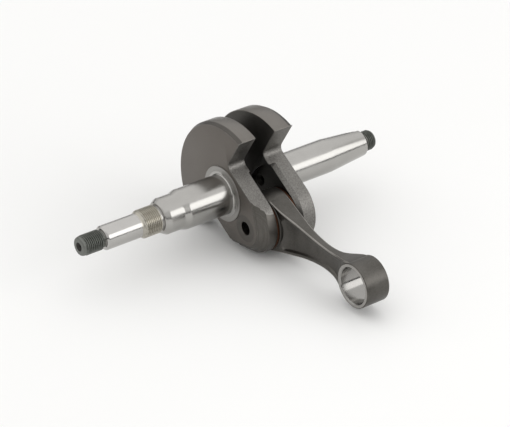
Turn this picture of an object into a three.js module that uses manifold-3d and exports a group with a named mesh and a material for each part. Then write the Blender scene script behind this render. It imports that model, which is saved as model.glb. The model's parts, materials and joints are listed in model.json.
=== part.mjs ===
// Built-up crankshaft with its connecting rod, from a large single-cylinder two-stroke engine.
//
// Frame: millimetres, +X along the crank axis (clutch end at -X, flywheel end at +X), +Z up.
// The origin is where the crank axis crosses the mid-plane of the connecting rod.
//
// Two forged crank halves are pressed onto a hollow crank pin. The connecting rod turns on the
// pin through one row of caged rollers, between two copper-plated thrust washers.

import * as THREE from 'three';
import { ConvexGeometry } from 'three/addons/geometries/ConvexGeometry.js';
import { mergeVertices } from 'three/addons/utils/BufferGeometryUtils.js';
import Module from 'manifold-3d';

const wasm = await Module();
wasm.setup();

// ---------------------------------------------------------------- driving dimensions

const THROW = 21;                                  // crank axis to pin axis, for a 42 mm stroke
const THROW_ANGLE = THREE.MathUtils.degToRad(31.4); // throw below -Y
const ROD_LENGTH = 70;                             // pin axis to small-end axis
const ROD_ANGLE = THREE.MathUtils.degToRad(0.9);   // rod below -Y

const WEB_OUTER = 15.8;          // outer faces of both webs, from the mid-plane
const WEB_FLOOR = 6.8;           // floor of the pocket that the big end turns in
const POCKET_RADIUS = 25.5;      // that pocket, about the pin axis
const LEFT_WEIGHT_INNER = 6.1;   // inner faces of the counterweights, from the mid-plane
const RIGHT_WEIGHT_INNER = 5.0;
const WEIGHT_RADIUS = 35.6;      // counterweights, about the crank axis
const WEIGHT_EDGE = -5.5;        // straight edge of a counterweight, along the throw
const WEIGHT_BEVEL = { radial: 1.2, axial: 2.1 };
const NECK_HALF = 16;            // half width of the web's neck
const NECK_FILLET = 3.5;
const END_CENTRE = 19;           // centre of the web's round end, along the throw
const NOSE_BEVEL = 5.1;          // 45 degree bevel round the pin end of the left web
const NOSE_RADIUS = 8.7;         // what it leaves of the outer face, about the pin axis
const NOSE_FLANK = THREE.MathUtils.degToRad(48.3);  // normals of its two flanks, from the throw
const NOSE_STEPS = 8;
const LEFT_CHAMFER = 0.6;        // inner edges of the necks
const RIGHT_CHAMFER = 1.8;

const PIN_RADIUS = 7;
const PIN_BORE = 3.3;
const PRESS_GAP = 0.03;          // clearance drawn at the pressed joints

const BIG_BORE = 10;             // outer race, in the rod
const BIG_OUTER = 14.2;
const BIG_HALF = 5.5;
const SMALL_BORE = 9;
const SMALL_OUTER = 11.1;
const SMALL_HALF = 6.5;
const SHANK_WEB = 1.1;           // half thickness of the I-beam's web
const SHANK_FLANGE = 1.6;        // flange height of the I-beam
const CHANNEL = { from: 18.5, to: 56.5 };
const SHANK_STEPS = 22;
// Distance from the pin towards the small end, and the shank's half height and half width there.
const SHANK_HALF_HEIGHT = [
  [6, 12.9], [10, 11.7], [14, 10.6], [20, 9.3], [26, 8.0], [32, 6.9], [38, 6.0], [44, 5.6], [50, 5.9],
  [56, 7.3], [62, 9.4],
];
const SHANK_HALF_WIDTH = [
  [6, 5.2], [11, 4.9], [14, 4.5], [18, 3.9], [26, 2.8], [34, 2.2], [46, 2.1], [54, 3.0],
  [60, 5.0], [66, 6.2],
];

const ROLLER_COUNT = 14;
const ROLLER_RADIUS = 1.47;
const ROLLER_LENGTH = 8.6;
const ROLLER_FACETS = 16;
const CAGE = { inner: 7.6, outer: 9.4, half: 5.4, play: 0.12 };

const WASHER = { inner: 7.08, outer: 13.8, near: 5.65, far: 6.6 };

const LEFT_BOSS = { radius: 13.95, height: 0.5 };
const RIGHT_BOSS = { radius: 13.95, height: 0.5 };
const SHOULDER = { radius: 11.4, height: 1.1 };   // fillet between a boss and its journal
const SHAFT_CENTRE = { mouth: 2.2, drill: 1.0, depth: 5 };
const WEB_CENTRE = { mouth: 3.1, drill: 1.6, depth: 6 };

const KEYWAY = {
  width: 4, cutter: 5, depth: 1.5, x: 65.9, drop: 1.82, angle: THREE.MathUtils.degToRad(62),
};

// Each shaft's outline, from the web outwards: distance along the axis and radius.
const LEFT_SHAFT = [
  [40.8, 10], [43.9, 9], [51.6, 9], [54.2, 7.4], [54.2, 6.2], [55.1, 6.2], [55.4, 7],
  [64.9, 7], [65.6, 6.3], [65.6, 6], [84.9, 6], [85.8, 5.2], [85.8, 4.2], [87.0, 4.2], [87.6, 5],
  [96.8, 5], [97.8, 4.5], [98.4, 3.6],
];
const RIGHT_SHAFT = [
  [46.0, 8.5], [67.9, 6.5], [69.2, 5.4], [69.2, 4.4], [69.9, 4.4], [70.2, 5], [74.0, 5],
  [74.7, 4.5], [75.0, 3.7],
];

const ROUND = 48;                // facets in a full turn

const TURN = Math.PI + THROW_ANGLE;   // turns the throw from +Y to its rest position

// ---------------------------------------------------------------- solids

// A closed geometry as a manifold solid, turned the right way out.
function solid(geometry) {
  geometry.deleteAttribute('normal');
  geometry.deleteAttribute('uv');
  const merged = mergeVertices(geometry, 1e-4);
  const vertProperties = new Float32Array(merged.attributes.position.array);
  const triVerts = new Uint32Array(merged.index.array);
  const outward = new wasm.Manifold(new wasm.Mesh({ numProp: 3, vertProperties, triVerts }));
  if (outward.volume() > 0) return outward;
  for (let i = 0; i < triVerts.length; i += 3) {
    [triVerts[i], triVerts[i + 1]] = [triVerts[i + 1], triVerts[i]];
  }
  return new wasm.Manifold(new wasm.Mesh({ numProp: 3, vertProperties, triVerts }));
}

function geometryOf(made) {
  const mesh = made.getMesh();
  const geometry = new THREE.BufferGeometry();
  geometry.setAttribute('position', new THREE.BufferAttribute(mesh.vertProperties, 3));
  geometry.setIndex(new THREE.BufferAttribute(mesh.triVerts, 1));
  geometry.computeVertexNormals();
  return geometry;
}

// A solid turned about an axis along X, from its outline of [distance along X, radius].
function turned(outline, y = 0, facets = ROUND) {
  const points = outline.map(([x, radius]) => new THREE.Vector2(radius, x));
  return solid(new THREE.LatheGeometry(points, facets).rotateZ(-Math.PI / 2).translate(0, y, 0));
}

function disc(x0, x1, radius, y = 0, facets = ROUND) {
  return turned([[x0, 0], [x0, radius], [x1, radius], [x1, 0]], y, facets);
}

function ring(x0, x1, inner, outer, facets = ROUND) {
  return turned([[x0, inner], [x0, outer], [x1, outer], [x1, inner], [x0, inner]], 0, facets);
}

// A plate from x0 to x1 along X, from a shape drawn in Y and Z, with bevelled rims.
function plate(shape, x0, x1, bevel = 0) {
  const geometry = new THREE.ExtrudeGeometry(shape, {
    depth: x1 - x0 - 2 * bevel,
    curveSegments: ROUND / 3,
    bevelEnabled: bevel > 0,
    bevelThickness: bevel,
    bevelSize: bevel,
    bevelOffset: -bevel,
    bevelSegments: 1,
  });
  const standing = new THREE.Matrix4().makeBasis(
    new THREE.Vector3(0, 1, 0), new THREE.Vector3(0, 0, 1), new THREE.Vector3(1, 0, 0));
  return solid(geometry.applyMatrix4(standing).translate(x0 + bevel, 0, 0));
}

function mirrored(made) {
  return solid(geometryOf(made).scale(-1, 1, 1));
}

// ---------------------------------------------------------------- crank halves
// Each half is drawn on the +X side with the throw along +Y.

// Half-round counterweight, two fillets, and a neck with a round end about the pin.
function webShape() {
  const rough = WEIGHT_RADIUS + 1;
  const horn = Math.acos(WEIGHT_EDGE / rough);
  const filletY = WEIGHT_EDGE + NECK_FILLET;
  const filletZ = NECK_HALF + NECK_FILLET;
  const shape = new THREE.Shape();
  shape.absarc(0, 0, rough, horn, 2 * Math.PI - horn, false);
  shape.absarc(filletY, -filletZ, NECK_FILLET, Math.PI, Math.PI / 2, true);
  shape.absarc(END_CENTRE, 0, NECK_HALF, -Math.PI / 2, Math.PI / 2, false);
  shape.absarc(filletY, filletZ, NECK_FILLET, -Math.PI / 2, -Math.PI, true);
  shape.closePath();
  return shape;
}

// What the turned rim leaves of a web, with its outer edge bevelled.
function rimEnvelope(inner) {
  const { radial, axial } = WEIGHT_BEVEL;
  return turned([
    [inner, 0], [inner, WEIGHT_RADIUS], [WEB_OUTER - axial, WEIGHT_RADIUS],
    [WEB_OUTER, WEIGHT_RADIUS - radial], [WEB_OUTER, 0],
  ], 0, 2 * ROUND);
}

// The web, with the big end's pocket turned about the pin and the neck's edges chamfered there.
function web(inner, chamfer) {
  const pocket = disc(0, WEB_FLOOR + chamfer, POCKET_RADIUS, THROW, 2 * ROUND);
  const neck = plate(webShape(), WEB_FLOOR, WEB_OUTER + 2 * chamfer, chamfer);
  return plate(webShape(), inner, WEB_OUTER)
    .subtract(pocket)
    .add(neck)
    .intersect(rimEnvelope(inner));
}

// The corners at x of a round nose about the pin, with its two flanks running on past the web.
function noseCorners(x, radius) {
  const reach = 3 * WEIGHT_RADIUS;
  const corners = [];
  for (let i = -NOSE_STEPS; i <= NOSE_STEPS; i += 1) {
    const angle = (NOSE_FLANK * i) / NOSE_STEPS;
    corners.push(new THREE.Vector3(x, THROW + radius * Math.cos(angle), radius * Math.sin(angle)));
  }
  const end = THROW + radius * Math.cos(NOSE_FLANK) - reach * Math.sin(NOSE_FLANK);
  const spread = radius * Math.sin(NOSE_FLANK) + reach * Math.cos(NOSE_FLANK);
  return [...corners, new THREE.Vector3(x, end, -spread), new THREE.Vector3(x, end, spread)];
}

// What is left round the pin end: a straight nose, bevelled towards the web's outer face.
function noseEnvelope() {
  const foot = WEB_OUTER - NOSE_BEVEL;
  const widest = NOSE_RADIUS + NOSE_BEVEL;
  const straight = new ConvexGeometry([...noseCorners(0, widest), ...noseCorners(foot, widest)]);
  const bevel = new ConvexGeometry([
    ...noseCorners(foot, widest), ...noseCorners(WEB_OUTER, NOSE_RADIUS),
  ]);
  return solid(straight).add(solid(bevel));
}

// The shaft and its boss, down to the axis, starting inside the web.
function shaft(outline, boss, journal) {
  return turned([
    [WEB_OUTER - 1, 0], [WEB_OUTER - 1, boss.radius], [WEB_OUTER + boss.height, boss.radius],
    [WEB_OUTER + boss.height, SHOULDER.radius],
    [WEB_OUTER + boss.height + SHOULDER.height, journal],
    ...outline, [outline.at(-1)[0], 0],
  ]);
}

// A centre drilling into an end face at x, widening towards its mouth.
function centreHole(x, inwards, { mouth, drill, depth }) {
  return turned([
    [x + inwards * depth, 0], [x + inwards * depth, drill], [x + inwards * (mouth - drill), drill],
    [x, mouth], [x - inwards, mouth], [x - inwards, 0],
  ]);
}

function pinHole() {
  return disc(0, WEB_OUTER + 1, PIN_RADIUS + PRESS_GAP, THROW);
}

function leftCrankHalf() {
  const made = web(LEFT_WEIGHT_INNER, LEFT_CHAMFER)
    .intersect(noseEnvelope())
    .add(shaft(LEFT_SHAFT, LEFT_BOSS, LEFT_SHAFT[0][1]))
    .subtract(pinHole())
    .subtract(centreHole(WEB_FLOOR, 1, WEB_CENTRE))
    .subtract(centreHole(LEFT_SHAFT.at(-1)[0], -1, SHAFT_CENTRE));
  return mirrored(made);
}

// The half-round seat of a Woodruff key, cut across the taper.
function keySeat() {
  const { width, cutter, depth, x, angle } = KEYWAY;
  const surface = RIGHT_SHAFT[0][1] - KEYWAY.drop;
  const seat = new THREE.CylinderGeometry(cutter, cutter, width, ROUND)
    .translate(x, 0, surface - depth + cutter)
    .rotateX(angle - Math.PI / 2 - TURN);
  return solid(seat);
}

function rightCrankHalf() {
  return web(RIGHT_WEIGHT_INNER, RIGHT_CHAMFER)
    .add(shaft(RIGHT_SHAFT, RIGHT_BOSS, RIGHT_SHAFT[0][1]))
    .subtract(pinHole())
    .subtract(keySeat())
    .subtract(centreHole(WEB_FLOOR, 1, WEB_CENTRE))
    .subtract(centreHole(RIGHT_SHAFT.at(-1)[0], -1, SHAFT_CENTRE));
}

// ---------------------------------------------------------------- pin and bearing
// Drawn about the X axis, then placed at the pin.

function crankPin() {
  const half = WEB_OUTER - PRESS_GAP;
  const edge = 0.5;
  return turned([
    [-half, PIN_BORE], [-half, PIN_RADIUS - edge], [edge - half, PIN_RADIUS],
    [half - edge, PIN_RADIUS], [half, PIN_RADIUS - edge], [half, PIN_BORE], [-half, PIN_BORE],
  ]);
}

const rollerPitch = (PIN_RADIUS + BIG_BORE) / 2;
const rollerAngle = (i) => (2 * Math.PI * i) / ROLLER_COUNT;

function roller() {
  const half = ROLLER_LENGTH / 2;
  const edge = 0.25;
  return turned([
    [-half, 0], [-half, ROLLER_RADIUS - edge], [edge - half, ROLLER_RADIUS],
    [half - edge, ROLLER_RADIUS], [half, ROLLER_RADIUS - edge], [half, 0],
  ], 0, ROLLER_FACETS);
}

// A thin sleeve with one window for each roller.
function cage() {
  const half = ROLLER_LENGTH / 2 + CAGE.play;
  const wide = ROLLER_RADIUS + CAGE.play;
  let made = ring(-CAGE.half, CAGE.half, CAGE.inner, CAGE.outer);
  for (let i = 0; i < ROLLER_COUNT; i += 1) {
    const window = new THREE.BoxGeometry(2 * half, CAGE.outer, 2 * wide)
      .translate(0, CAGE.outer, 0)
      .rotateX(rollerAngle(i));
    made = made.subtract(solid(window));
  }
  return made;
}

function thrustWasher(side) {
  const faces = [WASHER.near, WASHER.far].map((x) => side * x);
  return ring(Math.min(...faces), Math.max(...faces), WASHER.inner, WASHER.outer);
}

// ---------------------------------------------------------------- connecting rod
// Drawn with the big end at the origin and the small end along +Y.

// One edge of the shank seen along X: half height against distance from the pin.
function shankOutline(inset) {
  const edge = new THREE.SplineCurve(SHANK_HALF_HEIGHT.map(([y, z]) => new THREE.Vector2(y, z - inset)));
  return edge.getPoints(SHANK_STEPS);
}

function symmetricShape(upper) {
  const lower = [...upper].reverse().map(({ x, y }) => new THREE.Vector2(x, -y));
  return new THREE.Shape([...upper, ...lower]);
}

function shank() {
  const seenAlongX = plate(symmetricShape(shankOutline(0)), -SMALL_HALF, SMALL_HALF);
  const thickness = new THREE.SplineCurve(SHANK_HALF_WIDTH.map(([y, x]) => new THREE.Vector2(y, x)));
  const seenAlongZ = new THREE.ExtrudeGeometry(symmetricShape(thickness.getPoints(SHANK_STEPS)), {
    depth: 2 * BIG_OUTER, bevelEnabled: false,
  }).translate(0, 0, -BIG_OUTER).rotateZ(Math.PI / 2);
  return seenAlongX.intersect(solid(seenAlongZ));
}

// The channel down one side of the shank, between its two flanges.
function channel(side) {
  const upper = shankOutline(SHANK_FLANGE).filter(({ x }) => x > CHANNEL.from && x < CHANNEL.to);
  const x0 = side > 0 ? SHANK_WEB : -SMALL_HALF - 1;
  return plate(symmetricShape(upper), x0, x0 + SMALL_HALF + 1 - SHANK_WEB);
}

function connectingRod() {
  const span = SMALL_HALF + 1;
  return disc(-BIG_HALF, BIG_HALF, BIG_OUTER)
    .add(shank())
    .subtract(channel(1))
    .subtract(channel(-1))
    .add(disc(-SMALL_HALF, SMALL_HALF, SMALL_OUTER, ROD_LENGTH))
    .subtract(disc(-span, span, BIG_BORE))
    .subtract(disc(-span, span, SMALL_BORE, ROD_LENGTH));
}

// ---------------------------------------------------------------- assembly

const groundSteel = { color: 0xb9b7b1, roughness: 0.3, metalness: 0.95 };
const forgedSteel = { color: 0x6f6a63, roughness: 0.55, metalness: 0.8 };
const rodSteel = { color: 0x625d56, roughness: 0.55, metalness: 0.8 };
const copperPlate = { color: 0x96694a, roughness: 0.4, metalness: 0.85 };
const cageSteel = { color: 0x8c857a, roughness: 0.45, metalness: 0.85 };

function piece(name, made, finish) {
  const mesh = new THREE.Mesh(geometryOf(made), new THREE.MeshStandardMaterial(finish));
  mesh.name = name;
  return mesh;
}

const crank = new THREE.Group();
crank.rotation.x = TURN;
crank.add(
  piece('left_crank_half', leftCrankHalf(), forgedSteel),
  piece('right_crank_half', rightCrankHalf(), forgedSteel),
);

const bigEnd = new THREE.Group();
bigEnd.position.set(0, -THROW * Math.cos(THROW_ANGLE), -THROW * Math.sin(THROW_ANGLE));
bigEnd.add(
  piece('crank_pin', crankPin(), groundSteel),
  piece('big_end_cage', cage(), cageSteel),
  piece('thrust_washer_left', thrustWasher(-1), copperPlate),
  piece('thrust_washer_right', thrustWasher(1), copperPlate),
);

const rollerSolid = roller();
for (let i = 0; i < ROLLER_COUNT; i += 1) {
  const number = String(i + 1).padStart(2, '0');
  const mesh = piece(`big_end_roller_${number}`, rollerSolid, groundSteel);
  const angle = rollerAngle(i);
  mesh.position.set(0, rollerPitch * Math.cos(angle), rollerPitch * Math.sin(angle));
  bigEnd.add(mesh);
}

const rod = piece('connecting_rod', connectingRod(), rodSteel);
rod.rotation.x = Math.PI + ROD_ANGLE;
bigEnd.add(rod);

const crankshaft = new THREE.Group();
crankshaft.add(crank, bigEnd);

export default crankshaft;
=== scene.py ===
"""Fine meshes, materials, light and camera for the built-up crankshaft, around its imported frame.

Shapes are drawn in millimetres and stand in the frame's own axes: +X along the crank axis with
the clutch end at -X, +Z up, origin where the crank axis crosses the rod's mid-plane.
"""

import json
import math

import bmesh
import bpy
import numpy as np
from mathutils import Matrix, Vector


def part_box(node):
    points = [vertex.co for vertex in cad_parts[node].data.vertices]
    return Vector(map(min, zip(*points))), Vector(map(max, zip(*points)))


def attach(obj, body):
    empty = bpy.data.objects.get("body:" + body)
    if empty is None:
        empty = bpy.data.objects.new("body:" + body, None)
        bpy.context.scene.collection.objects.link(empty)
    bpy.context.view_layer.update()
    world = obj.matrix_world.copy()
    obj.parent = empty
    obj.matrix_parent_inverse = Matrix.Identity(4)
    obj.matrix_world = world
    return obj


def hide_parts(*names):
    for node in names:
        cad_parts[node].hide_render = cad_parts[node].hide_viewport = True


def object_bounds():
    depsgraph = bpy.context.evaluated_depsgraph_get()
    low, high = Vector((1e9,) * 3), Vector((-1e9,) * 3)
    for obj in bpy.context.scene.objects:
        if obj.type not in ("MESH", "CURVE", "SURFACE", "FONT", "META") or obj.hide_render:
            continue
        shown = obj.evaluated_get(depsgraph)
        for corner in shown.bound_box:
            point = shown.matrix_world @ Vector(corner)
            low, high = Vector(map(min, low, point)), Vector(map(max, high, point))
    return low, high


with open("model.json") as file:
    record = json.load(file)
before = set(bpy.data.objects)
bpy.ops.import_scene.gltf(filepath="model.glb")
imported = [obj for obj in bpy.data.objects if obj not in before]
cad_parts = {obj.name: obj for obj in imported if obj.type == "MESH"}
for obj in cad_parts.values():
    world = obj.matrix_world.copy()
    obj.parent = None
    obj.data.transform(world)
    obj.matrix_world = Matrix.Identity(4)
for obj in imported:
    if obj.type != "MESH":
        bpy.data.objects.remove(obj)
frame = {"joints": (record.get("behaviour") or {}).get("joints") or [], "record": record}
cad_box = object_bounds()

# ---------------------------------------------------------------- places, from the frame (mm)

MM = 0.001
JOINTS = {j["name"]: j for j in frame["joints"]}
PIN = np.array(JOINTS["rod_swing"]["pos_m"]) / MM
OPENINGS = {o["name"]: np.array(o["box_m"]) / MM for o in frame["record"]["physics"]["openings"]}
SMALL_END = OPENINGS["small_end_bore"].mean(axis=0)
THROW = math.hypot(PIN[1], PIN[2])
TURN = math.atan2(PIN[2], PIN[1])              # turns +Y onto the throw
ROD = SMALL_END - PIN
ROD_LENGTH = math.hypot(ROD[1], ROD[2])
ROD_TURN = math.atan2(ROD[2], ROD[1])          # turns +Y onto the rod
LEFT_END = -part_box("left_crank_half")[0].x / MM
RIGHT_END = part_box("right_crank_half")[1].x / MM
FLOOR = cad_box[0].z

# ---------------------------------------------------------------- dimensions (mm)

WEB_OUTER = 15.8
WEB_FLOOR = 6.8
POCKET_RADIUS = 25.5
LEFT_INNER = 6.1
RIGHT_INNER = 5.0
WEIGHT_RADIUS = 35.6
WEIGHT_EDGE = -5.5
WEIGHT_BEVEL = (1.2, 2.1)                      # radial, axial
HORN_RADIUS = 0.9
NECK_HALF = 16.0
NECK_FILLET = 3.5
LEFT_CHAMFER = 0.6
RIGHT_CHAMFER = 1.8
END_CENTRE = 19.0
EDGE = 0.35                                    # worn edge of the forgings
NOSE_FLANK = math.radians(48.3)
# The turned steps of the left web's nose: depth below its outer face and radius about the pin.
NOSE_STEPS = [
    (-1.0, 8.3), (0.0, 8.7), (0.6, 9.2), (0.8, 10.1), (2.5, 11.3), (2.8, 12.1), (4.1, 12.8),
    (4.4, 13.5), (7.0, 13.8), (14.0, 13.9),
]

PIN_RADIUS = 7.0
PIN_BORE = 3.3
PRESS = 0.01                                   # overlap of the pin and its holes
BIG_BORE = 10.0
BIG_OUTER = 14.2
BIG_HALF = 5.5
SMALL_BORE = 9.0
SMALL_OUTER = 11.1
SMALL_HALF = 6.5
ROLLER_COUNT = 14
ROLLER_RADIUS = 1.47
ROLLER_HALF = 4.3
CAGE = {"inner": 7.6, "outer": 9.4, "half": 5.4, "play": 0.12}
WASHER = {"inner": 7.08, "outer": 13.8, "near": 5.65, "far": 6.6}
BOSS = 13.95
BOSS_HEIGHT = 0.5
KEY_SEAT = {
    "x": 65.9, "surface": 6.68, "width": 4, "cutter": 5, "depth": 1.5, "angle": math.radians(62),
}

ROUND = 160                                    # facets of a full turn
THREAD_DEPTH = 0.613                           # of the pitch
THREAD_STEPS = 12                              # rings to one pitch
WELD = 0.0005                                  # points nearer than this are one


# ---------------------------------------------------------------- materials

def add_node(tree, kind, inputs=None, **settings):
    node = tree.nodes.new(kind)
    for key, value in settings.items():
        setattr(node, key, value)
    for key, value in (inputs or {}).items():
        if isinstance(value, bpy.types.NodeSocket):
            tree.links.new(value, node.inputs[key])
        else:
            node.inputs[key].default_value = value
    return node


def calc(tree, operation, a, b=0.0, c=0.0):
    return add_node(tree, "ShaderNodeMath", {0: a, 1: b, 2: c}, operation=operation).outputs[0]


def noise(tree, vector, scale, detail=2.0, rough=0.5):
    inputs = {"Vector": vector, "Scale": scale, "Detail": detail, "Roughness": rough}
    return add_node(tree, "ShaderNodeTexNoise", inputs).outputs[0]


def spread(tree, value, low, high):
    """The middle of a noise's range, spread over low to high."""
    inputs = {"Value": value, "From Min": 0.3, "From Max": 0.7, "To Min": low, "To Max": high}
    return add_node(tree, "ShaderNodeMapRange", inputs).outputs[0]


def line_coordinate(tree, place, lines):
    """What a tool mark is constant along: the place along X, or the distance from an axis."""
    part = add_node(tree, "ShaderNodeSeparateXYZ", {0: place})
    if isinstance(lines, str):
        return part.outputs["X"]
    y = calc(tree, "SUBTRACT", part.outputs["Y"], float(lines[1]) * MM)
    z = calc(tree, "SUBTRACT", part.outputs["Z"], float(lines[2]) * MM)
    squares = calc(tree, "MULTIPLY_ADD", y, y, calc(tree, "MULTIPLY", z, z))
    return calc(tree, "SQRT", squares)


def metal(name, dark, light, rough, lines=None, pitch=0.15, depth=0.01, lumps=0.0, grain=0.0,
          speckle=0.35):
    """Bare metal: two colours mixed by cloudy noise, tool marks a pitch apart, forging lumps and
    a fine blasted grain. pitch, depth, lumps and grain are in millimetres, speckle is the grain's
    share of the colour."""
    material = bpy.data.materials.new(name)
    material.use_nodes = True
    tree = material.node_tree
    shader = tree.nodes["Principled BSDF"]
    shader.inputs["Metallic"].default_value = 1.0
    place = add_node(tree, "ShaderNodeTexCoord").outputs["Object"]
    clouds = noise(tree, place, 90.0, 4.0, 0.6)
    specks = noise(tree, place, 1500.0, 2.0, 0.7)
    height = calc(tree, "MULTIPLY", specks, grain)
    blend = calc(tree, "MULTIPLY_ADD", specks, speckle, calc(tree, "MULTIPLY", clouds, 1 - speckle))
    if lumps:
        height = calc(tree, "MULTIPLY_ADD", noise(tree, place, 450.0, 3.0), lumps, height)
    if lines is not None:
        along = calc(tree, "DIVIDE", line_coordinate(tree, place, lines), pitch * MM)
        marks = add_node(
            tree, "ShaderNodeTexNoise", {"W": along, "Scale": 1.0, "Detail": 3.0},
            noise_dimensions="1D").outputs[0]
        height = calc(tree, "MULTIPLY_ADD", marks, depth, height)
        blend = calc(tree, "MULTIPLY_ADD", marks, 0.35, calc(tree, "MULTIPLY", blend, 0.65))
    colour = add_node(
        tree, "ShaderNodeMix", {"Factor": spread(tree, blend, 0.0, 1.0)}, data_type="RGBA")
    colour.inputs["A"].default_value = (*dark, 1.0)
    colour.inputs["B"].default_value = (*light, 1.0)
    tree.links.new(colour.outputs["Result"], shader.inputs["Base Color"])
    tree.links.new(spread(tree, clouds, rough[0], rough[1]), shader.inputs["Roughness"])
    bump = add_node(tree, "ShaderNodeBump", {"Height": height, "Distance": MM, "Strength": 1.0})
    tree.links.new(bump.outputs[0], shader.inputs["Normal"])
    return material


CRANK_AXIS = (0.0, 0.0, 0.0)
GROUND = metal("ground_steel", (0.36, 0.352, 0.336), (0.43, 0.421, 0.404), (0.17, 0.25),
               "axial", 0.12, 0.0012)
SEAT = metal("ground_seat", (0.42, 0.411, 0.396), (0.49, 0.481, 0.465), (0.15, 0.23),
             "axial", 0.1, 0.001)
BOSS_STEEL = metal("boss_face", (0.27, 0.262, 0.25), (0.36, 0.35, 0.335), (0.3, 0.4),
                   CRANK_AXIS, 0.16, 0.006)
FACE = metal("turned_web_face", (0.135, 0.122, 0.11), (0.185, 0.17, 0.155), (0.38, 0.5),
             CRANK_AXIS, 0.3, 0.004, 0.01, 0.008)
RIM = metal("turned_rim", (0.15, 0.14, 0.128), (0.215, 0.203, 0.188), (0.32, 0.44),
            "axial", 0.25, 0.006, 0.0, 0.006)
FORGED = metal("forged_side", (0.11, 0.105, 0.097), (0.26, 0.252, 0.238), (0.36, 0.52),
               None, 0.2, 0.0, 0.05, 0.12, 0.75)
# Painted reflection: the turned bevel round the weights is coloured darker than the rim to stand in for
# the dark surroundings it reflects.
BEVEL_DARK_REFLECTION = metal("bevel_painted_reflection", (0.075, 0.07, 0.063), (0.115, 0.108, 0.1), (0.36, 0.48),
              "axial", 0.25, 0.006, 0.0, 0.006)
NOSE = metal("turned_nose", (0.09, 0.084, 0.076), (0.15, 0.142, 0.13), (0.34, 0.46),
             PIN, 0.5, 0.02, 0.03, 0.02)
# Painted shade: the inner faces of the webs are coloured near black to stand in for the shade between the
# two webs.
INNER_FACE_SHADE = metal("inner_face_painted_shade", (0.055, 0.052, 0.047), (0.09, 0.086, 0.078), (0.4, 0.5),
              CRANK_AXIS, 0.3, 0.006)
# Painted shade: the pocket round the pin, where the big end runs between the webs, is coloured near black
# for the shade that falls there.
POCKET_SHADE = metal("pocket_painted_shade", (0.035, 0.034, 0.031), (0.07, 0.067, 0.062), (0.4, 0.5),
               PIN, 0.25, 0.008)
# Painted shade: drilled holes and centre bores are coloured near black for the shade inside them.
HOLE_SHADE = metal("hole_painted_shade", (0.03, 0.029, 0.027), (0.07, 0.067, 0.062), (0.4, 0.55),
             "axial", 0.3, 0.01)
BLACK = metal("blackened_thread", (0.115, 0.12, 0.109), (0.21, 0.217, 0.202), (0.36, 0.5),
              "axial", 0.2, 0.006, 0.0, 0.02)
GOLDEN = metal("fine_thread", (0.36, 0.34, 0.295), (0.47, 0.45, 0.4), (0.26, 0.36),
               "axial", 0.12, 0.003)
ROD_STEEL = metal("rod_forging", (0.07, 0.066, 0.059), (0.14, 0.133, 0.123), (0.34, 0.48),
                  None, 0.2, 0.0, 0.06, 0.03)
# Painted highlight: the rounded flange corners of the rod are coloured lighter than the forging for the
# light they catch.
ROD_EDGE_HIGHLIGHT = metal("rod_flange_painted_highlight", (0.2, 0.19, 0.175), (0.32, 0.307, 0.287), (0.26, 0.36),
                 None, 0.2, 0.0, 0.03, 0.01)
ROD_FACE = metal("rod_ground_face", (0.27, 0.26, 0.245), (0.38, 0.368, 0.35), (0.26, 0.36),
                 SMALL_END, 0.15, 0.005)
BIG_FACE = metal("big_end_face", (0.15, 0.143, 0.132), (0.23, 0.22, 0.205), (0.3, 0.42),
                 PIN, 0.15, 0.005)
HONED = metal("honed_bore", (0.25, 0.244, 0.233), (0.33, 0.322, 0.309), (0.13, 0.2),
              "axial", 0.1, 0.0006)
COPPER = metal("copper_plate", (0.05, 0.024, 0.014), (0.13, 0.06, 0.034), (0.4, 0.55),
               PIN, 0.2, 0.006, 0.0, 0.02)
CAGE_STEEL = metal("cage_steel", (0.28, 0.27, 0.25), (0.42, 0.4, 0.37), (0.3, 0.42),
                   "axial", 0.2, 0.005)
ROLLER_STEEL = metal("roller_steel", (0.5, 0.49, 0.475), (0.62, 0.61, 0.595), (0.12, 0.2),
                     "axial", 0.1, 0.002)


# ---------------------------------------------------------------- outlines

def rounded(corners, steps=5):
    """A path through corners (a, b, radius), each inner corner turned on an arc of its radius."""
    out = []
    for i, (a, b, radius) in enumerate(corners):
        corner = np.array((a, b), float)
        if not radius or i in (0, len(corners) - 1):
            out.append(corner)
            continue
        back = np.array(corners[i - 1][:2], float) - corner
        ahead = np.array(corners[i + 1][:2], float) - corner
        room = 0.49 * min(np.linalg.norm(back), np.linalg.norm(ahead))
        back /= np.linalg.norm(back)
        ahead /= np.linalg.norm(ahead)
        half = math.acos(np.clip(back @ ahead, -1, 1)) / 2
        reach = min(radius / max(math.tan(half), 1e-6), room)
        if half > math.radians(89):
            out += [corner + back * reach * (1 - 2 * k / steps) if k < steps / 2
                    else corner + ahead * reach * (2 * k / steps - 1) for k in range(steps + 1)]
            continue
        for k in range(steps + 1):
            t = k / steps
            start = corner + back * reach
            end = corner + ahead * reach
            out.append((1 - t) ** 2 * start + 2 * t * (1 - t) * corner + t ** 2 * end)
    return out


def arc(centre, radius, start, end, steps):
    angles = np.linspace(start, end, steps + 1)
    return [np.array((centre[0] + radius * math.cos(a), centre[1] + radius * math.sin(a)))
            for a in angles]


def smooth_line(knots, at):
    """Catmull-Rom values at the given places, through knots (place, value)."""
    places = np.array([k[0] for k in knots], float)
    values = np.array([k[1] for k in knots], float)
    slopes = np.gradient(values, places)
    out = []
    for s in at:
        i = int(np.clip(np.searchsorted(places, s) - 1, 0, len(places) - 2))
        span = places[i + 1] - places[i]
        t = np.clip((s - places[i]) / span, 0, 1)
        h00, h10 = 2 * t ** 3 - 3 * t ** 2 + 1, t ** 3 - 2 * t ** 2 + t
        h01, h11 = -2 * t ** 3 + 3 * t ** 2, t ** 3 - t ** 2
        out.append(h00 * values[i] + h10 * span * slopes[i]
                   + h01 * values[i + 1] + h11 * span * slopes[i + 1])
    return np.array(out)


# ---------------------------------------------------------------- meshes (mm)

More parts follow.
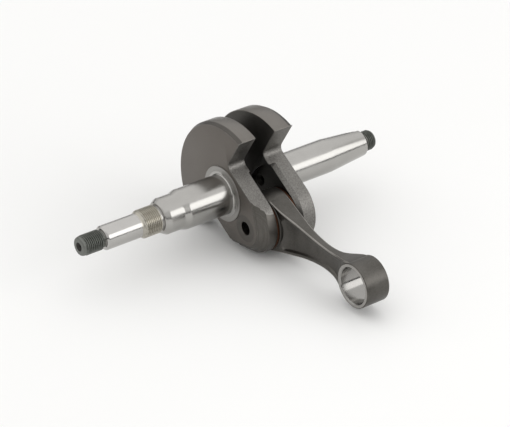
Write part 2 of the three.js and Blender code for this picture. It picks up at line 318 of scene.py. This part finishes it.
def mesh_object(name, points, faces, materials, index=None):
    mesh = bpy.data.meshes.new(name)
    mesh.from_pydata([tuple(p) for p in points], [], faces)
    for material in materials:
        mesh.materials.append(material)
    if index is not None:
        mesh.polygons.foreach_set("material_index", index)
    work = bmesh.new()
    work.from_mesh(mesh)
    bmesh.ops.recalc_face_normals(work, faces=work.faces)
    work.to_mesh(mesh)
    work.free()
    made = bpy.data.objects.new(name, mesh)
    bpy.context.scene.collection.objects.link(made)
    return made


def loft(name, rings, materials, finish=None):
    """Skins closed rings of points in turn and caps both ends. finish(i, j) is the material of
    the face between rings i and i + 1 and points j and j + 1; the caps are i = -1 and i = None."""
    rings = np.asarray(rings, float)
    count, around = rings.shape[:2]
    finish = finish or (lambda i, j: 0)
    faces, index = [list(range(around))], [finish(-1, 0)]
    for i in range(count - 1):
        for j in range(around):
            k = (j + 1) % around
            faces.append([i * around + j, i * around + k, (i + 1) * around + k, (i + 1) * around + j])
            index.append(finish(i, j))
    faces.append([(count - 1) * around + j for j in range(around)])
    index.append(finish(None, 0))
    return mesh_object(name, rings.reshape(-1, 3), faces, materials, index)


def ring_at(x, radius, around=ROUND):
    angles = np.linspace(0, 2 * math.pi, around, endpoint=False)
    return np.stack([np.full(around, float(x)), radius * np.cos(angles), radius * np.sin(angles)], 1)


def turned(name, outline, material, centre=(0.0, 0.0), around=ROUND):
    """A solid of revolution about an axis along X, from its path of (x, radius)."""
    rings = [ring_at(x, r, around) for x, r in outline]
    made = loft(name, rings, [material])
    made.data.transform(Matrix.Translation((0, *centre)))
    return made


def sleeve(name, outline, material, centre=(0.0, 0.0), around=ROUND):
    """A ring of revolution: its path of (x, radius) closes on itself."""
    rings = np.array([ring_at(x, r, around) for x, r in outline])
    count = len(rings)
    faces = []
    for i in range(count):
        n = (i + 1) % count
        for j in range(around):
            k = (j + 1) % around
            faces.append([i * around + j, i * around + k, n * around + k, n * around + j])
    made = mesh_object(name, rings.reshape(-1, 3), faces, [material])
    made.data.transform(Matrix.Translation((0, *centre)))
    return made


def combine(base, tool, operation="DIFFERENCE"):
    modifier = base.modifiers.new("combine", "BOOLEAN")
    modifier.operation = operation
    modifier.solver = "MANIFOLD"
    modifier.material_mode = "TRANSFER"
    modifier.object = tool
    graph = bpy.context.evaluated_depsgraph_get()
    mesh = bpy.data.meshes.new_from_object(base.evaluated_get(graph), depsgraph=graph)
    base.modifiers.clear()
    base.data = mesh
    bpy.data.objects.remove(tool)
    return base


def settle(made, body, nodes, turn=0.0, sharp=math.radians(32)):
    """Turns a finished piece onto its place, in metres, and hands it to the frame."""
    work = bmesh.new()
    work.from_mesh(made.data)
    bmesh.ops.remove_doubles(work, verts=work.verts, dist=WELD)
    bmesh.ops.dissolve_degenerate(work, edges=work.edges, dist=WELD)
    work.to_mesh(made.data)
    work.free()
    made.data.transform(Matrix.Scale(MM, 4) @ Matrix.Rotation(turn, 4, "X"))
    made.data.shade_smooth()
    made.data.set_sharp_from_angle(angle=sharp)
    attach(made, body)
    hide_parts(*nodes)
    return made


# ---------------------------------------------------------------- shafts

def plain(corners, finish, steps=4):
    return [(x, r, 0.0, finish) for x, r in rounded(corners, steps)]


def thread(start, end, radius, pitch, bevel, finish):
    """Rings of a thread between two distances along the shaft, its first coil bevelled."""
    places = np.arange(start, end + 1e-6, pitch / THREAD_STEPS)
    return [(x, min(radius, radius - bevel + (end - x)), pitch, finish) for x in places]


def thread_dip(turns):
    """0 on a thread's crest and 1 on its root, from the place along it in turns."""
    along = np.abs((turns % 1.0) * 2 - 1)
    return np.clip((along - 0.15) / 0.62, 0, 1)


def shaft(name, side, stations, finishes):
    angles = np.linspace(0, 2 * math.pi, ROUND, endpoint=False)
    rings = []
    for x, radius, pitch, _ in stations:
        radii = np.full(ROUND, float(radius))
        if pitch:
            crest = max(s[1] for s in stations if s[2] == pitch and abs(s[0] - x) < 12)
            dip = THREAD_DEPTH * pitch * thread_dip(x / pitch - side * angles / (2 * math.pi))
            radii = np.minimum(radii, crest - dip)
        places = [np.full(ROUND, side * x), radii * np.cos(angles), radii * np.sin(angles)]
        rings.append(np.stack(places, 1))
    ends = {-1: 0, None: -1}
    return loft(name, rings, finishes, lambda i, j: stations[ends.get(i, i)][3])


# Centre bores take the near-black finish, painted shade inside the hole.
def centre_bore(end, mouth, drill, depth, finish):
    return [(end, mouth, 0.0, finish), (end - (mouth - drill), drill, 0.0, finish),
            (end - depth, drill, 0.0, finish)]


SHAFT_FINISHES = [BOSS_STEEL, GROUND, SEAT, GOLDEN, BLACK, HOLE_SHADE]
F_BOSS, F_GROUND, F_SEAT, F_GOLDEN, F_BLACK, F_HOLE_SHADE = range(6)


def left_shaft():
    face = WEB_OUTER + BOSS_HEIGHT
    tip = LEFT_END
    return shaft("left_shaft", -1, [
        *plain([(WEB_OUTER - 1, BOSS, 0), (face, BOSS, 0.2), (face, 11.4, 0)], F_BOSS),
        *plain([(face, 11.4, 0), (face + 0.25, 10, 1.0), (face + 3, 10, 0)], F_GROUND, 8),
        *plain([(face + 3.01, 10, 0), (40.8, 10, 2.5), (43.9, 9, 2.5), (51.6, 9, 0.5), (53.7, 7.7, 0.3),
                (54.2, 7.2, 0.2), (54.2, 6.2, 0.2), (55.1, 6.2, 0)], F_GROUND),
        (55.3, 6.5, 0.0, F_GOLDEN),
        *thread(55.5, 64.9, 7.0, 1.0, 0.75, F_GOLDEN),
        *plain([(65.3, 6.2, 0), (65.7, 6.0, 0.3), (66.2, 6, 0)], F_GOLDEN),
        *plain([(66.3, 6, 0), (84.9, 6, 0.3), (85.8, 5.2, 0.2), (85.8, 4.2, 0)], F_SEAT),
        *plain([(86.0, 4.2, 0), (86.9, 4.2, 0)], F_BLACK),
        *thread(87.4, 96.9, 5.0, 1.0, 0.7, F_BLACK),
        *plain([(97.1, 4.75, 0), (tip, 4.4, 1.3), (tip, 2.6, 0)], F_BLACK, 6),
        *centre_bore(tip, 2.2, 1.0, 5.0, F_HOLE_SHADE),
    ], SHAFT_FINISHES)


def right_shaft():
    face = WEB_OUTER + BOSS_HEIGHT
    tip = RIGHT_END
    return shaft("right_shaft", 1, [
        *plain([(WEB_OUTER - 1, BOSS, 0), (face, BOSS, 0.2), (face, 10.2, 0)], F_BOSS),
        *plain([(face, 10.2, 0), (face + 0.25, 8.5, 1.0), (face + 3, 8.5, 0)], F_GROUND, 8),
        *plain([(face + 3.01, 8.5, 0), (46.0, 8.5, 3.0), (67.9, 6.5, 0.4), (69.2, 5.4, 0.2),
                (69.2, 4.4, 0.1), (69.7, 4.4, 0)], F_GROUND),
        (69.9, 4.6, 0.0, F_BLACK),
        *thread(70.1, 74.2, 5.0, 1.0, 0.6, F_BLACK),
        *plain([(74.4, 4.55, 0), (tip, 4.2, 0.4), (tip, 2.6, 0)], F_BLACK),
        *centre_bore(tip, 2.2, 1.0, 5.0, F_HOLE_SHADE),
    ], SHAFT_FINISHES)


# ---------------------------------------------------------------- webs
# Drawn with the throw along +Y, then turned onto it.

WEB_FINISHES = [FACE, FORGED, RIM, BEVEL_DARK_REFLECTION, INNER_FACE_SHADE]
W_FACE, W_SIDE, W_RIM, W_BEVEL_REFLECTION, W_INNER_SHADE = range(5)


def web_outline():
    """The web seen along X, and for each point its share of the turned rim and of the neck."""
    horn = math.acos(WEIGHT_EDGE / WEIGHT_RADIUS)
    step = math.radians(2)
    weight = arc((0, 0), WEIGHT_RADIUS, math.pi, horn + step, 48)
    tip = (WEIGHT_RADIUS * math.cos(horn), WEIGHT_RADIUS * math.sin(horn), HORN_RADIUS)
    corners = [(*weight[-1], 0), tip,
               (WEIGHT_EDGE, NECK_HALF, NECK_FILLET), (END_CENTRE, NECK_HALF, 0)]
    side = rounded(corners, 8)
    nose = arc((END_CENTRE, 0), NECK_HALF, math.pi / 2, 0, 24)
    upper = weight[:-1] + side[:-1] + nose
    rim = [1.0] * len(weight) + [1 - k / 8 for k in range(9)]
    neck = [0.0] * (len(rim) - 1) + [k / 8 for k in range(9)]
    rim += [0.0] * (len(upper) - len(rim))
    neck += [1.0] * (len(upper) - len(neck))
    lower = [p * (1, -1) for p in reversed(upper[1:-1])]
    return np.array(upper + lower), np.array(rim + rim[-2:0:-1]), np.array(neck + neck[-2:0:-1])


def plate(name, side, levels):
    """A web plate. levels are (x, inset, rim x, rim inset, neck x, neck inset) from its inner to
    its outer face."""
    outline, share, neck = web_outline()
    along = np.roll(outline, -1, 0) - np.roll(outline, 1, 0)
    outward = np.stack([-along[:, 1], along[:, 0]], 1) / np.linalg.norm(along, axis=1)[:, None]
    if np.mean(np.sum(outward * (outline - outline.mean(0)), 1)) < 0:
        outward = -outward
    rings = []
    for x, inset, rim_x, rim_inset, neck_x, neck_inset in levels:
        places = x + (rim_x - x) * share + (neck_x - x) * neck
        insets = inset + (rim_inset - inset) * share + (neck_inset - inset) * neck
        points = outline - outward * insets[:, None]
        rings.append(np.column_stack([side * places, points]))
    on_rim = share > 0.4

    def finish(i, j):
        if i is None or i == -1:
            # The inner faces take the near-black finish that paints the shade between the webs.
            return W_FACE if i is None else W_INNER_SHADE
        if not (on_rim[j] and on_rim[(j + 1) % len(on_rim)]):
            return W_SIDE
        # The bevel ring takes the darker finish, a painted reflection.
        return W_BEVEL_REFLECTION if i == len(levels) - 3 else W_RIM

    return loft(name, rings, WEB_FINISHES, finish)


def outer_levels():
    radial, axial = WEIGHT_BEVEL
    worn, start = 0.3 * EDGE, WEB_OUTER - EDGE
    return [
        (start - 0.3, 0, WEB_OUTER - axial - 0.2, 0, start - 0.3, 0),
        (start, 0, WEB_OUTER - axial + 0.1, 0.1, start, 0),
        (WEB_OUTER - worn, worn, WEB_OUTER - 0.1, radial - 0.1, WEB_OUTER - worn, worn),
        (WEB_OUTER, EDGE, WEB_OUTER, radial + 0.1, WEB_OUTER, EDGE),
    ]


def broken_edge(x, chamfer):
    """The levels of an inner edge at x, worn round the weight and chamfered along the neck."""
    worn = 0.3 * EDGE
    return [
        (x, EDGE, x, EDGE, x, chamfer), (x + worn, worn, x + worn, worn, x + chamfer - 0.1, 0.1),
        (x + EDGE, 0, x + EDGE, 0, x + chamfer + 0.1, 0),
    ]


def web(name, side, inner, chamfer):
    weight = plate(name, side, [*broken_edge(inner, EDGE), *outer_levels()])
    # The pocket is cut with the near-black finish, painted shade between the webs.
    pocket = turned("pocket", [
        (-side, POCKET_RADIUS), (side * (WEB_FLOOR + chamfer), POCKET_RADIUS)], POCKET_SHADE, (THROW, 0))
    combine(weight, pocket)
    neck = plate("neck", side, [*broken_edge(WEB_FLOOR, chamfer), *outer_levels()])
    return combine(weight, neck, "UNION")


def nose_envelope():
    """What the turned bevel round the left web's pin end leaves: a round nose, two flanks."""
    reach = 3 * WEIGHT_RADIUS
    flank = np.array((-math.sin(NOSE_FLANK), math.cos(NOSE_FLANK)))
    rings = []
    for depth, radius in NOSE_STEPS:
        ends = arc((THROW, 0), radius, -NOSE_FLANK, NOSE_FLANK, 32)
        outline = [ends[0] + flank * (1, -1) * reach, *ends, ends[-1] + flank * reach]
        rings.append([(depth - WEB_OUTER, *p) for p in outline])
    return loft("nose", rings, [NOSE])


def drilling(name, side, end, mouth, drill, depth):
    """A centre drilling into a face at end, towards +X for side 1."""
    return turned(name, [(end + side * depth, drill), (end + side * (mouth - drill), drill),
                         (end, mouth), (end - side, mouth)], HOLE_SHADE, around=48)


def crank_half(name, side, inner, chamfer, shaft_piece):
    made = web(name, side, inner, chamfer)
    if side < 0:
        combine(made, nose_envelope(), "INTERSECT")
    shaft_piece.data.transform(Matrix.Rotation(-TURN, 4, "X"))
    combine(made, shaft_piece, "UNION")
    hole = [(0, PIN_RADIUS - PRESS), (side * (WEB_OUTER + 1), PIN_RADIUS - PRESS)]
    combine(made, turned("pin_hole", hole, HOLE_SHADE, (THROW, 0)))
    combine(made, drilling("web_centre", side, side * WEB_FLOOR, 3.1, 1.6, 6))
    return made


def key_seat():
    """Half-round seat of a Woodruff key, across the taper."""
    half, cutter = KEY_SEAT["width"] / 2, KEY_SEAT["cutter"]
    centre = KEY_SEAT["surface"] - KEY_SEAT["depth"] + cutter
    seat = turned("key_seat", [(-half, cutter), (half, cutter)], GROUND, around=64)
    seat.data.transform(
        Matrix.Rotation(KEY_SEAT["angle"] - math.pi / 2 - TURN, 4, "X")
        @ Matrix.Translation((KEY_SEAT["x"], 0, centre))
        @ Matrix.Rotation(math.pi / 2, 4, "Z"))
    return seat


left_half = crank_half("left_crank_half_fine", -1, LEFT_INNER, LEFT_CHAMFER, left_shaft())
settle(left_half, "crank", ["left_crank_half"], TURN)
right_half = crank_half("right_crank_half_fine", 1, RIGHT_INNER, RIGHT_CHAMFER, right_shaft())
combine(right_half, key_seat())
settle(right_half, "crank", ["right_crank_half"], TURN)


# ---------------------------------------------------------------- pin and bearing

PIN_CENTRE = (PIN[1], PIN[2])


def crank_pin():
    half = WEB_OUTER - 0.005
    bevel = 0.3
    bore = PIN_BORE
    return sleeve("crank_pin_fine", [
        (-half, bore + bevel), (-half, PIN_RADIUS), (-10, PIN_RADIUS), (10, PIN_RADIUS),
        (half, PIN_RADIUS), (half, bore + bevel), (half - bevel, bore),
        (bevel - half, bore)], NOSE, PIN_CENTRE)


def cage():
    half = CAGE["half"]
    inner, outer, edge = CAGE["inner"], CAGE["outer"], 0.15
    made = sleeve("big_end_cage_fine", [
        (-half, inner), (-half, outer - edge), (edge - half, outer), (half - edge, outer),
        (half, outer - edge), (half, inner)], CAGE_STEEL)
    wide = ROLLER_RADIUS + CAGE["play"]
    long = ROLLER_HALF + CAGE["play"]
    for i in range(ROLLER_COUNT):
        window = [[(x, r, s * wide) for x, s in ((-long, -1), (long, -1), (long, 1), (-long, 1))]
                  for r in (2.0, 12.0)]
        tool = loft("window", window, [CAGE_STEEL])
        tool.data.transform(Matrix.Rotation(2 * math.pi * i / ROLLER_COUNT, 4, "X"))
        combine(made, tool)
    made.data.transform(Matrix.Translation((0, *PIN_CENTRE)))
    return made


def washer(name, side):
    near, far = WASHER["near"], WASHER["far"]
    inner, outer, edge = WASHER["inner"], WASHER["outer"], 0.18
    path = [(near + edge, inner), (near, inner + edge), (near, outer - edge), (near + edge, outer),
            (far - edge, outer), (far, outer - edge), (far, inner + edge), (far - edge, inner)]
    return sleeve(name, [(side * x, r) for x, r in path], COPPER, PIN_CENTRE)


def roller(number, place):
    half, radius = ROLLER_HALF, ROLLER_RADIUS
    outline = rounded([(-half, 0.02, 0), (-half, radius, 0.35), (half, radius, 0.35), (half, 0.02, 0)], 4)
    return turned(f"big_end_roller_{number}_fine", outline, ROLLER_STEEL, place, 40)


settle(crank_pin(), "crank", ["crank_pin"])
settle(cage(), "cage", ["big_end_cage"])
settle(washer("thrust_washer_left_fine", -1), "washer_left", ["thrust_washer_left"])
settle(washer("thrust_washer_right_fine", 1), "washer_right", ["thrust_washer_right"])
for i in range(ROLLER_COUNT):
    number = f"{i + 1:02d}"
    place = np.array(JOINTS[f"roller_{number}_spin"]["pos_m"])[1:] / MM
    settle(roller(number, place), f"roller_{number}", [f"big_end_roller_{number}"])


# ---------------------------------------------------------------- connecting rod
# Drawn with the pin at the origin and the small end along +Y.

# Distance from the pin, and there the forging's half height, its half width and the half thickness of the
# I-beam's web; the channel's half height is the half height less FLANGE.
HALF_HEIGHT = [
    (-4, 11.0), (0, 13.4), (4, 13.5), (8, 12.5), (12, 11.3), (17, 10.1), (22, 9.0), (28, 7.6),
    (34, 6.5), (40, 5.8), (45, 5.6), (50, 5.95), (55, 7.0), (60, 8.6), (65, 10.1), (70, 10.8),
]
HALF_WIDTH = [
    (-4, 4.6), (6, 5.2), (11, 4.9), (14, 4.5), (18, 3.9), (26, 2.8), (34, 2.25), (46, 2.15),
    (53, 2.8), (58, 4.2), (62, 5.4), (70, 6.0),
]
WEB_HALF = [
    (12.5, 4.6), (15, 3.3), (18, 2.3), (23, 1.6), (30, 1.15), (48, 1.1), (52, 1.6), (56, 2.9),
    (60, 4.9),
]
FLANGE = 1.7
FLANGE_EDGE = 0.6
CHANNEL_FROM = 12.6
CHANNEL_TO = 58.2


def section(s, height, width, middle):
    """The forging's section at a distance s from the pin, as (x, z) once round."""
    from_big, to_small = s - CHANNEL_FROM, CHANNEL_TO - s
    deep = middle < width - 0.02 and from_big > 0 and to_small > 0
    open_half = height - FLANGE
    if deep:
        ends = min(1.0, from_big / 3.0, to_small / 4.0)
        open_half *= math.sqrt(max(0.0, 1 - (1 - ends) ** 2))
    floor = middle if deep else width
    corners = [(0, height, 0), (width, height, FLANGE_EDGE), (width, max(open_half, 0.4), 0.35),
               (floor, max(open_half - 0.6, 0.2), 0.9), (floor, 0, 0)]
    quarter = np.array(rounded(corners, 4))
    right = np.vstack([quarter, quarter[-2::-1] * (1, -1)])
    return np.vstack([right, right[-2:0:-1] * (-1, 1)])


def shank():
    places = np.linspace(-4, ROD_LENGTH, 149)
    heights, widths = smooth_line(HALF_HEIGHT, places), smooth_line(HALF_WIDTH, places)
    middles = smooth_line(WEB_HALF, places)
    rings = []
    for s, height, width, middle in zip(places, heights, widths, middles):
        rings.append([(x, s, z) for x, z in section(s, height, width, middle)])

    def finish(i, j):
        if i is None or i == -1:
            return 0
        x, _, z = (np.array(rings[i][j]) + rings[i][(j + 1) % len(rings[i])]) / 2
        # The flange corners take the lighter finish, a painted highlight.
        on_edge = abs(x) > widths[i] - FLANGE_EDGE and abs(z) > heights[i] - FLANGE_EDGE
        return 1 if on_edge else 0

    return loft("shank", rings, [ROD_STEEL, ROD_EDGE_HIGHLIGHT], finish)


def eye(name, place, half, radius, face):
    """A machined end of the rod, its faces ground and its rim as forged."""
    path = rounded([(-half, radius - 2, 0), (-half, radius, 0.45), (half, radius, 0.45),
                    (half, radius - 2, 0)], 5)
    rings = [ring_at(x, r) for x, r in path]
    ends = (-1, None, 0, len(path) - 2)
    made = loft(name, rings, [ROD_STEEL, face], lambda i, j: 1 if i in ends else 0)
    made.data.transform(Matrix.Translation((0, place, 0)))
    return made


def bore(name, place, radius, half, bevel):
    """A bore with bevelled mouths, as the solid to take away."""
    wide = radius + bevel + 1
    path = [(-half - 1, wide), (bevel - half, radius), (half - bevel, radius), (half + 1, wide)]
    return turned(name, path, HONED, (place, 0))


def connecting_rod():
    made = eye("connecting_rod_fine", 0, BIG_HALF, BIG_OUTER, BIG_FACE)
    combine(made, shank(), "UNION")
    combine(made, eye("small_eye", ROD_LENGTH, SMALL_HALF, SMALL_OUTER, ROD_FACE), "UNION")
    combine(made, bore("big_bore", 0, BIG_BORE, BIG_HALF, 0.4))
    combine(made, bore("small_bore", ROD_LENGTH, SMALL_BORE, SMALL_HALF, 0.35))
    return made


rod = connecting_rod()
rod.data.transform(Matrix.Rotation(ROD_TURN, 4, "X"))
rod.data.transform(Matrix.Translation((0, *PIN_CENTRE)))
settle(rod, "rod", ["connecting_rod"])


# ---------------------------------------------------------------- stage, light and camera

FLOOR_SIZE = 6.0


def floor():
    material = bpy.data.materials.new("pale_floor")
    material.use_nodes = True
    tree = material.node_tree
    shader = tree.nodes["Principled BSDF"]
    place = add_node(tree, "ShaderNodeTexCoord").outputs["Object"]
    colour = add_node(tree, "ShaderNodeMix", {"Factor": noise(tree, place, 3.0)}, data_type="RGBA")
    colour.inputs["A"].default_value = (0.86, 0.86, 0.855, 1)
    colour.inputs["B"].default_value = (0.9, 0.9, 0.895, 1)
    tree.links.new(colour.outputs["Result"], shader.inputs["Base Color"])
    shader.inputs["Roughness"].default_value = 0.9
    shader.inputs["Specular IOR Level"].default_value = 0.1
    half = FLOOR_SIZE / 2
    corners = [(-half, -half, FLOOR), (half, -half, FLOOR), (half, half, FLOOR), (-half, half, FLOOR)]
    made = mesh_object("floor", corners, [[0, 1, 2, 3]], [material])


def softbox(name, place, size, power, colour=(1.0, 1.0, 1.0)):
    light = bpy.data.lights.new(name, "AREA")
    light.shape = "RECTANGLE"
    light.size, light.size_y = size
    light.energy = power
    light.color = colour
    made = bpy.data.objects.new(name, light)
    made.location = place
    made.rotation_euler = (-Vector(place)).to_track_quat("-Z", "Y").to_euler()
    made.visible_camera = False
    bpy.context.scene.collection.objects.link(made)


WORLD = 0.85
SKIRTING = 0.06
HORIZON = 0.1                                  # sine of the height the dark skirting reaches
FRONT = 11
TOP = 19


def studio():
    """A pale room with a dark skirting round the horizon, and two soft boxes."""
    world = bpy.data.worlds.new("studio")
    world.use_nodes = True
    tree = world.node_tree
    direction = add_node(tree, "ShaderNodeTexCoord").outputs["Generated"]
    height = add_node(tree, "ShaderNodeSeparateXYZ", {0: direction}).outputs["Z"]
    ramp = {"Value": height, "From Min": HORIZON, "From Max": 2 * HORIZON,
            "To Min": SKIRTING, "To Max": WORLD}
    strength = add_node(tree, "ShaderNodeMapRange", ramp, interpolation_type="SMOOTHSTEP").outputs[0]
    background = tree.nodes["Background"]
    background.inputs["Color"].default_value = (1.0, 0.995, 0.985, 1)
    tree.links.new(strength, background.inputs["Strength"])
    bpy.context.scene.world = world
    softbox("front_box", (0.9, -1.55, 0.75), (1.9, 1.1), FRONT)
    softbox("top_box", (0.0, 0.3, 1.8), (4.4, 4.4), TOP)


AZIMUTH = math.radians(-36.96)
ELEVATION = math.radians(30.196)
DISTANCE = 1.3454
LENS = 197.6
AIM = Vector((-2.21, -7.65, -12.17)) * MM


def camera():
    back = Vector((
        math.sin(AZIMUTH) * math.cos(ELEVATION),
        -math.cos(AZIMUTH) * math.cos(ELEVATION),
        math.sin(ELEVATION),
    ))
    lens = bpy.data.cameras.new("camera")
    lens.lens = LENS
    lens.sensor_width = 36
    lens.clip_start = 0.05
    made = bpy.data.objects.new("camera", lens)
    made.location = AIM + back * DISTANCE
    made.rotation_euler = (-back).to_track_quat("-Z", "Y").to_euler()
    bpy.context.scene.collection.objects.link(made)
    bpy.context.scene.camera = made


floor()
studio()
camera()
bpy.context.scene.view_settings.view_transform = "Standard"
